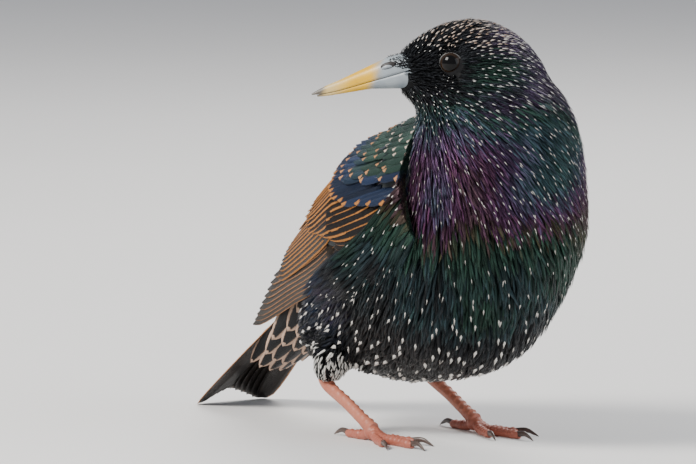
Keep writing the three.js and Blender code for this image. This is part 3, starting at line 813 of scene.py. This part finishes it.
def wing_blade(root, tip, half, lift, tilt, outline, bow=0.0, camber=0.35):
    """A blade from root to tip, both (along the barrel, degrees round it)."""
    def place_at(s, c, h):
        u = root[0] + (tip[0] - root[0]) * s
        girth = np.radians(np.interp(u / WING_LENGTH, WING_S, BARREL_OUT))
        wide = np.interp(s, BLADE_S, outline) * half
        u = u - 0.12 * half * np.abs(c) * s
        phi = root[1] + (tip[1] - root[1]) * s - bow * np.sin(s * np.pi) + c * wide / girth
        return u, phi, lift[0] + (lift[1] - lift[0]) * s + h - c * tilt - camber * c * c
    return place_at


def between(a, b, t):
    return a + (b - a) * t


def jog(size):
    return wing_draw.uniform(-size, size)


def profile(*stations):
    return lambda at: np.interp(at, [place for place, _ in stations], [value for _, value in stations])


# how far along the barrel each row of coverts ends, by the angle, and how far up the flank covers the wing
greater_end = profile((4, 41), (20, 60), (40, 67), (67, 66))
median_end = profile((10, 10), (15, 22), (20, 34), (30, 43), (66, 48))
lesser_end = profile((20, 2), (26, 20), (30, 30), (35, 37), (70, 42))
wing_edge = profile((-6, 22), (1, 17), (7, 11), (13, 4), (27, -3), (40, -6), (54, -9), (68, -11), (84, -15))


def wing_blades():
    """Flight feathers and tertials, then the greater, the median and the lesser coverts over their roots."""
    blades = []
    for count, start, angles, ends, end_angles, half, low, lifts, tilt, *look, bow in FLIGHTS:
        for t in (i / (count - 1) for i in range(count)):
            root, end = (start, between(*angles, t)), (between(*ends, t), between(*end_angles, t))
            blade = wing_blade(root, end, half, (low, between(*lifts, t)), tilt, FLIGHT, bow)
            blades.append((blade, *look, 0))
    for i in range(17):
        phi = between(4, 67, i / 16)
        end = greater_end(phi) + jog(0.5)
        lift = (0.4, between(2.1, 3.2, i / 16))
        blade = wing_blade((end - 36, phi), (end, phi + 1), 2.5, lift, 0.7, COVERT)
        blades.append((blade, SOOT * 0.6, 0.16, 0.06, 1.0, 0))
    for i in range(20):
        phi = between(11, 68, i / 19)
        end = median_end(phi) + jog(1)
        half, lift = 1.75 + jog(0.2), (0.9, between(2.5, 3.1, i / 19))
        blade = wing_blade((end - 22, phi - 1), (end, phi), half, lift, 0.4, COVERT)
        blades.append((blade, BLUE * wing_draw.uniform(0.22, 0.5), 0, 0.14, 1.0, 0))
    for row in range(7):
        for i in range(15):
            phi = between(19, 84, (i + 0.5 * (row % 2)) / 14.5) + jog(1.2)
            end = lesser_end(phi) - row * 6 + jog(1.2)
            if end < -8:
                continue
            color = between(BLUE * 0.5, GREEN * 0.6, min(row / 2 + 0.2 * (jog(1) > 0), 1))
            tipped = 0.13 if jog(1) > -0.4 else 0.0
            half, lift = 1.9 + jog(0.3), (0.9, 3.3 - row * 0.14)
            blade = wing_blade((end - 15, phi), (end, phi), half, lift, 0.3, COVERT)
            blades.append((blade, color, 0, tipped, 0.9 if row < 4 else 0.4, 0))
    return blades


def side_blades():
    """Flank feathers that sweep back over the lower edge of the folded wing."""
    blades = []
    for row in range(6):
        for i in range(46):
            end = between(0, 70, (i + 0.25 * row) / 46) + jog(1.5)
            below = 3 + row * 5 + jog(2.5)
            tip = (end, wing_edge(end) - below + 1)
            root = (end - 15, wing_edge(end - 15) - below + 3)
            spot = on_barrel(end - 6, tip[1] - 4, 2.0)
            blade = wing_blade(root, tip, 0.85 + jog(0.15), (1.2, 4.3 - row * 0.4), 0.05, POINTED)
            color = plumage_color(spot[None])[0] * wing_draw.uniform(0.5, 1.8)
            blades.append((blade, color, 0, 0.1 * (jog(1) > 0.6), 0.05, 0))
    return blades


def pebble(around, rings, reach):
    """A ball whose corners reach(x, y, z) places."""
    shape = bmesh.new()
    bmesh.ops.create_uvsphere(shape, u_segments=around, v_segments=rings, radius=1)
    for v in shape.verts:
        v.co = reach(*v.co)
    bmesh.ops.recalc_face_normals(shape, faces=shape.faces)
    return shape


def grained(name, scale, detail, dark, light, rough, wear, relief, deep, **fixed):
    """A material whose colour, roughness and relief all follow one fine grain."""
    material, shader, place = start_material(name, **fixed)
    grain = place.noise(scale, detail)
    feed(shader, Base_Color=grain.mixed((*dark, 1), (*light, 1)), Roughness=rough + grain * wear,
         Normal=bumped(grain, relief, deep))
    return material


down_finish = grained("short_down", 900, 3, (0.006, 0.008, 0.009), (0.02, 0.026, 0.03), 0.5, 0.3, 0.5,
                      0.0003, Metallic=0.2)
for side, mirrored in (("right", False), ("left", True)):
    large_feathers(f"wing_{side}_feathers", on_barrel, wing_blades(), "wing_feathers", [f"wing_{side}"],
                   mirrored, 7)
    large_feathers(f"flank_{side}_feathers", on_barrel, side_blades(), "plumage", (),
                   mirrored, 8, coat_finish)

    def arm_reach(x, y, z):
        inward = 1.0 if y > 0 else 5.0
        spot = on_barrel(between(-3, 60, (x + 1) / 2), between(-4, 80, (z + 1) / 2), y * inward)
        return to_left(spot) if mirrored else spot

    clad(placed(f"wing_{side}_arm", pebble(32, 20, arm_reach)), down_finish, "plumage")

# Tail: twelve dark feathers with thin buff edges, fanned from the rump, with green-black coverts above
# their roots and long buff coverts with black arrowheads below them, round a wedge of down.
TAIL_SLOPE, TAIL_LENGTH, TAIL_STEP = math.radians(37), 63, 0.42
RUMP_BACK, RUMP_UP, FLOOR_GAP = 51.5, 42, 0.3
WEDGE_FROM, WEDGE_TO, WEDGE_HALF, WEDGE_TOP, WEDGE_DEEP = -22, 40, 11.5, -3.2, 12.5
COVERT_LENGTH = 18


def on_tail(back, side, h):
    forward = -RUMP_BACK - back * math.cos(TAIL_SLOPE) - h * math.sin(TAIL_SLOPE)
    up = RUMP_UP - back * math.sin(TAIL_SLOPE) + h * math.cos(TAIL_SLOPE)
    return on_body(forward, side, np.maximum(up, FLOOR_GAP))


def wedge_taper(back):
    return np.sqrt(np.clip(1 - ((back - WEDGE_FROM) / (WEDGE_TO + 4 - WEDGE_FROM)) ** 2, 0, 1))


def under_tail(back, turn, h):
    taper = wedge_taper(back)
    side = np.sin(turn) * (WEDGE_HALF * (0.5 + 0.5 * taper) + h)
    return on_tail(back, side, WEDGE_TOP - np.cos(turn) * (WEDGE_DEEP * taper + h))


def tail_blade(i, side):
    def place_at(s, c, h):
        back = -6 + (TAIL_LENGTH + 6 + i * 0.45) * s
        wide = np.interp(s, BLADE_S, FLIGHT) * (3.2 + s)
        spread = (0.5 + 1.55 * s) * (i + 0.5) - c * wide
        layer = -TAIL_STEP * (i + (0.5 if side > 0 else 0)) - 0.012 * spread * spread
        return back, side * spread, layer + h - 0.2 * c * c
    return place_at


def undertail_blade(start, end, turn_from, turn_to, half, lift):
    def place_at(s, c, h):
        wide = np.interp(s, BLADE_S, POINTED) * half
        return (start + (end - start) * s, turn_from + (turn_to - turn_from) * s + c * wide / WEDGE_HALF,
                lift[0] + (lift[1] - lift[0]) * s + h - 0.3 * c * c)
    return place_at


def rump_blade(start, end, at):
    def place_at(s, c, h):
        side = at + c * 3.4 * np.interp(s, BLADE_S, COVERT)
        return start + (end - start) * s, side, 2.6 - 1.5 * s - 0.02 * at * at + h - 0.4 * c * c
    return place_at


tail_blades = [(tail_blade(i, side), SOOT * 1.3, 0.07, 0.02, 0.9, 0)
               for i in range(5, -1, -1) for side in (1, -1)]
large_feathers("tail_feathers", on_tail, tail_blades, "wing_feathers", ["tail"])
under_blades = []
for row in range(5):
    count = 8 - row // 2
    for i in range(count):
        turn = math.radians(between(-82, 82, (i + 0.5 * (row % 2)) / (count - 0.5)))
        reach = 4 + row * 8.6 + jog(1.2)
        blade = undertail_blade(reach - COVERT_LENGTH, reach, turn, turn * 0.8, 3.6, (-0.9, 0.7))
        under_blades.append((blade, BLACK * 0.7, 0.23, 0.13, 0.62, 1))
large_feathers("undertail_coverts", under_tail, under_blades, "plumage", ["undertail"])
over_blades = []
for row in range(4):
    for i in range(6):
        side = between(-8, 8, (i + 0.5 * (row % 2)) / 5.5)
        reach = 2 + row * 6 + jog(1)
        blade = rump_blade(reach - COVERT_LENGTH, reach, side)
        over_blades.append((blade, GREEN * 0.4, 0.12, 0.07, 0.9, 1))
large_feathers("uppertail_coverts", on_tail, over_blades, "plumage")


def wedge_reach(x, y, z):
    back = between(WEDGE_FROM, WEDGE_TO - 8, (x + 1) / 2)
    drop = (1 - z) / 2 * (WEDGE_DEEP * wedge_taper(back) * 0.9 + 4)
    return on_tail(back, y * WEDGE_HALF * 0.9, WEDGE_TOP + 4 - drop)


clad(placed("vent_down", pebble(32, 20, wedge_reach)), down_finish, "plumage")

# Bill: two horny mandibles, blue-grey where they leave the face, yellow along the middle and dark at the tip,
# with a slit nostril under a pale flap on each side and a dark mouth line between them. The near-black of the
# nostrils and of the mouth line is painted shade of these openings.
SIDES = (("left", 1), ("right", -1))
BILL_TIP, LOWER_TIP = 46.2, 44.6
MOUTH_GAP = 0.09  # from the middle of the mouth to each mandible
GREY_DARK, GREY_PALE = (0.15, 0.19, 0.23, 1), (0.40, 0.44, 0.46, 1)
YELLOW, YELLOW_DEEP = (0.80, 0.47, 0.006, 1), (0.68, 0.36, 0.002, 1)
WORN_YELLOW, TIP_GREY, GAPE_GREY = (0.60, 0.50, 0.28, 1), (0.055, 0.055, 0.06, 1), (0.16, 0.17, 0.19, 1)
NOSTRILS = [
    # name, place forward and up, how far out, half sizes
    ("nostril", 24.0, -0.6, 0.15, (2.3, 0.7, 1.05)),
    ("nostril_flap", 24.4, -0.85, 0.35, (1.7, 0.7, 0.6)),
]


def sleeve(sides, rows, reach):
    """A closed tube whose corners reach(across, up, share of its length) places."""
    shape = bmesh.new()
    bmesh.ops.create_cone(shape, cap_ends=True, segments=sides, radius1=1, radius2=1, depth=1)
    long_edges = [e for e in shape.edges if abs(e.verts[0].co.z - e.verts[1].co.z) > 0.5]
    bmesh.ops.subdivide_edges(shape, edges=long_edges, cuts=rows - 1, use_grid_fill=True)
    for v in shape.verts:
        v.co = reach(v.co.x, v.co.y, v.co.z + 0.5)
    bmesh.ops.recalc_face_normals(shape, faces=shape.faces)
    return shape


# the outline of the bill in side view and its half width, by the distance from the middle of the skull
culmen = profile((14, 3.2), (20, 2.7), (24, 1.7), (28, -0.2), (33, -2.6), (38, -5), (42, -6.7), (45, -8.3),
                 (BILL_TIP, -9))
mouth = profile((8, -5.2), (11, -4.2), (18, -1.9), (24, -3.8), (30, -5.6), (38, -8), (43, -9.1),
                (BILL_TIP, -9.5))
keel = profile((11, -7.2), (15, -7.5), (22, -7.5), (29, -7.6), (35, -8.6), (41, -9.6), (44, -9.9))
bill_half = profile((9, 5.6), (12, 5.7), (15, 5.4), (20, 4.5), (25, 3.6), (31, 2.6), (38, 1.7), (43, 0.95),
                    (BILL_TIP, 0.4))


def mandible(root, tip, high, low, flat, share=1.0):
    """Horn from root to tip. flat is 1 if its lower side meets the other mandible, -1 if its upper does."""
    def reach(x, y, s):
        forward = root + (tip - root) * (1 - (1 - s) ** 1.25)
        level = {1: max(y, 0) ** 0.9, 0: (y + 1) / 2, -1: 1 - max(-y, 0) ** 0.8}[flat]
        wide = bill_half(forward) * math.copysign(abs(x) ** 0.85, x) * share
        return on_head(forward, wide, low(forward) + (high(forward) - low(forward)) * level)
    return sleeve(36, 40, reach)


def bill_finish(name, yellow_from):
    material, shader, place = start_material(name, Coat_Weight=0.25, Coat_Roughness=0.2, IOR=1.54)
    reach = place.along(head_forward) * (1 / MM) - float(skull_middle @ head_forward)
    height = place.along(head_up) * (1 / MM) - float(skull_middle @ head_up)
    grain = place.noise(420, 4)
    cloud = place.noise(180, 2)
    at = reach + (cloud - 0.5) * 5
    color = at.rise(yellow_from, yellow_from + 4).mixed(cloud.mixed(GREY_DARK, GREY_PALE),
                                                        grain.mixed(YELLOW_DEEP, YELLOW))
    color = (at.rise(35, 41) * 0.6).mixed(color, WORN_YELLOW)
    color = (at.rise(41.5, 44.5) * 0.92).mixed(color, TIP_GREY)
    root = (1 - reach.rise(11, 16)) * 0.5 * height.rise(-4, -6)
    color = root.mixed(color, GAPE_GREY)
    feed(shader, Base_Color=color, Roughness=0.28 + grain * 0.25, Normal=bumped(grain, 0.25, 0.0001))
    return material


upper = mandible(12.5, BILL_TIP, culmen, lambda f: mouth(f) + MOUTH_GAP, 1)
clad(placed("bill_upper_horn", upper), bill_finish("upper_horn", 25.5), "bill_yellow", "bill_upper")
lower_horn = bill_finish("lower_horn", 27)
lower = mandible(9.5, LOWER_TIP, lambda f: mouth(f) - MOUTH_GAP, keel, -1)
clad(placed("bill_lower_horn", lower), lower_horn, "bill_pale", "bill_lower")
for name, low, high in (("upper", 0.1, 0.75), ("lower", -0.8, -0.1)):
    rim = mandible(10.5, 19.5, lambda f: mouth(f) + high, lambda f: mouth(f) + low, 0, share=1.17)
    clad(placed(f"gape_rim_{name}", rim), lower_horn, "bill_pale")
gape = mandible(9.5, 44, lambda f: mouth(f) + 0.2, lambda f: mouth(f) - 0.2, 0, share=0.96)
# Near black for the mouth line and the nostrils: painted shade of the crease between the mandibles and of the
# nostril openings.
opening_shade_finish, shader, place = start_material("painted_shade_of_bill_openings", Roughness=0.5)
feed(shader, Base_Color=place.noise(500).mixed((0.012, 0.01, 0.01, 1), (0.03, 0.024, 0.022, 1)))
clad(placed("mouth_line", gape), opening_shade_finish, "bill_pale")
for name, side in SIDES:
    for piece, forward, up, out, size in NOSTRILS:
        def nostril_reach(x, y, z):
            f, l, u = x * size[0], y * size[1], z * size[2]
            u += -0.22 * f - 0.1 * f * f * (piece == "nostril_flap")
            return on_head(forward + f, side * (bill_half(forward + f) * 0.86 + out - 0.25) + l, up + u)

        finish = opening_shade_finish if piece == "nostril" else lower_horn
        clad(placed(f"{piece}_{name}", pebble(24, 14, nostril_reach)), finish, "bill_pale")

# Bristles: short black feathers over the root of the bill, which start at the nostrils and lie back to the
# eyes. They grow in even rows on the upper horn itself.
bill_tree = joined_tree(bpy.data.objects["bill_upper_horn"].data)
bristles = []
for at in np.arange(13.5, 24.6, 0.36):
    for side in (-1, 1):
        for level in np.arange(0.14, 1.06, 0.05):
            if at < np.interp(level, [0.1, 0.4, 0.62, 1], [15.5, 21, 22.6, 24.6]):
                shift = wing_draw.uniform(-0.25, 0.25, 2)
                up = mouth(at) + (culmen(at) - mouth(at)) * level + shift[0]
                out = side * 8 * math.sqrt(max(1 - level**2, 0.001))
                spot, up_from, _, _ = bill_tree.find_nearest(Vector(on_head(at + shift[1], out, up) * MM))
                bristles.append((np.array(spot) / MM, up_from))
roots, normals = (np.array(column) for column in zip(*bristles))
pale = 0.14 * (from_head(roots)[2] > 0.6)
small_feathers("bristles_coat", roots, normals, (2.4, 0.26, 1.1, pale, 0.2), 90, (0.5, 0.9, 1, 0.6),
               bill_tree, np.tile(-head_forward, (len(roots), 1)))

# Eyes: dark wet balls that show a little wider than a pupil, each in a ring of small black beaded skin.
# Round them stands a wreath of very short feathers, which closes the coat of the face.
EYE_RADIUS, EYE_OUT = 3.6, 0.35
GAZE_LEAN, GAZE_UP = 0.22, 0.06
LID_RADIUS, LID_OUT, LID_WIDE, LID_HIGH, LID_BEADS = 3.0, 2.15, 1.05, 0.93, 26
WREATH_RADII, WREATH_STEP = (3.1, 3.3, 3.5), 0.1
lid_finish = grained("beaded_lid_skin", 1900, 2, (0.015, 0.015, 0.016), (0.13, 0.13, 0.125), 0.42, 0.2, 0.6,
                     0.0001, Specular_IOR_Level=0.6)
for name, side in SIDES:
    gaze = head_forward * GAZE_LEAN + head_left * side + head_up * GAZE_UP
    gaze /= np.linalg.norm(gaze)
    centre = middle_of(f"eye_{name}")
    ball = bmesh.new()
    bmesh.ops.create_uvsphere(ball, u_segments=48, v_segments=32, radius=EYE_RADIUS)
    bmesh.ops.translate(ball, verts=ball.verts, vec=centre + gaze * EYE_OUT)
    eye_finish, shader, place = start_material(f"eye_{name}_wet", IOR=1.27)
    front = place.along(gaze) * (1 / MM) - float(centre @ gaze)
    ring = front.rise(3.0, 3.25)
    brown = place.noise(1500, 3).mixed((0.014, 0.008, 0.005, 1), (0.026, 0.015, 0.009, 1))
    feed(shader, Base_Color=ring.mixed(brown, (0.003, 0.003, 0.003, 1)), Roughness=0.09 - ring * 0.05)
    clad(placed(f"eyeball_{name}", ball), eye_finish, "eye", f"eye_{name}")

    lid = bmesh.new()
    bmesh.ops.create_uvsphere(lid, u_segments=64, v_segments=25, radius=1)
    poles = [v for v in lid.verts if abs(v.co.z) > 0.999]
    bmesh.ops.delete(lid, geom=poles, context="VERTS")
    across = unit(np.cross(head_up, gaze))
    upward = np.cross(gaze, across)
    for v in lid.verts:
        turn = math.atan2(v.co.y, v.co.x)
        roll = math.acos(max(-1, min(1, v.co.z))) * 2
        bead_size = 0.28 + 0.05 * math.sin(turn * LID_BEADS) * max(math.cos(roll), 0)
        wide = LID_RADIUS + bead_size * 1.15 * math.cos(roll)
        deep = LID_OUT + bead_size * math.sin(roll) - 0.18 * abs(math.cos(turn)) ** 3
        v.co = (centre + across * wide * math.cos(turn) * LID_WIDE
                + upward * wide * math.sin(turn) * LID_HIGH + gaze * deep)
    bmesh.ops.holes_fill(lid, edges=[e for e in lid.edges if e.is_boundary])
    bmesh.ops.recalc_face_normals(lid, faces=lid.faces)
    clad(placed(f"eyelid_{name}", lid), lid_finish, "plumage")

    wreath, radials = [], []
    for radius in WREATH_RADII:
        out = math.sqrt(EYE_RADIUS**2 - radius**2) + EYE_OUT
        for turn in np.arange(0, 2 * math.pi, WREATH_STEP) + radius:
            radial = across * math.cos(turn) + upward * math.sin(turn)
            if radial @ head_forward < 0.35:
                wreath.append(centre + radial * radius + gaze * out)
                radials.append(radial)
    wreath, radials = np.array(wreath), np.array(radials)
    face_tree = joined_tree(skin.data, bpy.data.objects[f"eyeball_{name}"].data)
    small_feathers(f"eye_{name}_coat", wreath, unit(wreath - centre), (2.6, 0.2, 0.6, 0, 0), 95,
                   (0.5, 0.9, 1, 0.6), face_tree, unit(radials * 0.7 - head_forward * 0.6))

# Legs: bare shanks and toes in rings of pinkish red-brown scutes, with soft pads flat on the floor and dark
# curved claws. Shank and toes are welded into one skin, since a real foot has no seams.
ANKLE, HUB = (-24, 15.5), (0.5, 3.2)  # forward and up
KNEE_FROM_ANKLE, KNUCKLE_RADIUS = [3.5, 0, 7], 2.35
TOES = [
    # name, degrees from straight ahead, length, half thickness, scutes
    ("inner", 24, 15, 1.35, 9),
    ("middle", 2, 21, 1.5, 13),
    ("outer", -20, 15, 1.35, 9),
    ("hind", 178, 12.5, 1.5, 7),
]
SHANK_WIDTH = ((0, 3.0), (0.2, 2.5), (0.32, 2.1), (0.5, 1.8), (0.85, 1.8), (1, 2.2))
TOE_WIDTH = ((0.2, 1), (0.45, 0.86), (0.55, 1.02), (0.78, 0.8), (0.9, 0.92), (1, 0.62))  # by its thickness
TOE_ROOT = 1.5
CLAW_LENGTH, CLAW_ROOT, CLAW_POINT = 6.5, 0.98, 0.1
LEG_VOXEL = 0.24
PINK, PINK_PALE = (0.42, 0.105, 0.055, 1), (0.58, 0.22, 0.135, 1)
PINK_LOW, PINK_GREY = (0.33, 0.075, 0.05, 1), (0.22, 0.08, 0.06, 1)


def smooth_line(points):
    """A curve through points, as a function from the share of its length to a place."""
    points = np.array(points, float)
    padded = np.vstack([2 * points[0] - points[1], points, 2 * points[-1] - points[-2]])

    def at(share):
        t = min(max(share, 0), 1) * (len(points) - 1)
        i = min(int(t), len(points) - 2)
        a, b, c, d = padded[i:i + 4]
        t -= i
        bend, twist = 2 * a - 5 * b + 4 * c - d, 3 * b - a - 3 * c + d
        return 0.5 * (2 * b + (c - a) * t + bend * t**2 + twist * t**3)
    return at


def limb(points, radius_at, sides, rows, squash):
    """A round limb along a curve, squashed across it and flat where it meets the floor."""
    line = smooth_line(points)

    def reach(x, y, s):
        run = line(s + 0.01) - line(s - 0.01)
        run = run / np.linalg.norm(run)
        across = unit(np.cross([0, 0, 1], run))
        over = np.cross(run, across)
        place = line(s) + (across * x * squash + over * y) * radius_at(s, y)
        place[2] = max(place[2], 0)
        return place
    return sleeve(sides, rows, reach)


def ringed(stations, count, proud):
    """Scutes: plates over the front of the limb, each standing out at its lower edge, smooth behind."""
    width = profile(*stations)

    def radius_at(s, y):
        plate = (s * count) % 1
        return width(s) * (1 + proud * plate**2 * max(0.25 + 0.75 * y, 0))
    return radius_at


leg_finish, shader, place = start_material("scaled_leg_skin", Coat_Weight=0.15, Coat_Roughness=0.35)
mottle, fine = place.noise(160, 3), place.noise(1500, 3)
low = (place.axis("Z") * (1 / MM)).rise(7, 2)
flesh = (low * 0.55).mixed(mottle.mixed(PINK, PINK_PALE), PINK_LOW)
feed(shader, Base_Color=(fine * 0.3).mixed(flesh, PINK_GREY), Roughness=0.42 + fine * 0.25,
     Normal=bumped(fine, 0.4, 0.00012))
claw_finish = grained("claw_horn", 900, 3, (0.035, 0.022, 0.018), (0.10, 0.06, 0.045), 0.3, 0.2, 0.2,
                      0.0001, Coat_Weight=0.3, Coat_Roughness=0.2)
for name, side in SIDES:
    ankle = on_body(ANKLE[0], side * LEG_SPREAD, ANKLE[1])
    hub = on_body(HUB[0], side * LEG_SPREAD, HUB[1])
    shank = [ankle + KNEE_FROM_ANKLE, ankle, ankle + (hub - ankle) * 0.5, hub]
    limbs = [limb(shank, ringed(SHANK_WIDTH, 16, 0.26), 28, 110, 0.86)]
    knuckle = bmesh.new()
    bmesh.ops.create_uvsphere(knuckle, u_segments=20, v_segments=14, radius=KNUCKLE_RADIUS)
    bmesh.ops.translate(knuckle, verts=knuckle.verts, vec=hub - [0.4, 0, 0.55])
    limbs.append(knuckle)
    for toe, turn, length, thick, scutes in TOES:
        heading = math.radians(side * turn)
        run = np.array([math.cos(heading), math.sin(heading), 0])

        def out(far, z):
            return np.array([hub[0], hub[1], 0]) + run * far + [0, 0, z]

        line = [hub, out(4, thick * 0.95), out(length * 0.6, thick * 0.78), out(length, thick * 0.7)]
        width = [(0, TOE_ROOT)] + [(at, thick * share) for at, share in TOE_WIDTH]
        limbs.append(limb(line, ringed(width, scutes, 0.3), 22, scutes * 7, 1))
        claw_line = [out(length - 1.8, thick * 0.8), out(length + CLAW_LENGTH * 0.35, thick + 0.35),
                     out(length + CLAW_LENGTH * 0.75, thick - 0.5), out(length + CLAW_LENGTH, 0.12)]
        claw = limb(claw_line, lambda s, y: between(CLAW_ROOT, CLAW_POINT, s**1.25), 18, 22, 0.72)
        clad(placed(f"claw_{name}_{toe}_horn", claw), claw_finish, "claw", f"claw_{name}_{toe}")
    whole = bmesh.new()
    for one in limbs:
        poured(whole, one)
    leg = shown(f"leg_{name}_skin", welded(whole, LEG_VOXEL, soften=0.5))
    clad(leg, leg_finish, "leg_skin", f"shank_{name}", f"foot_{name}")
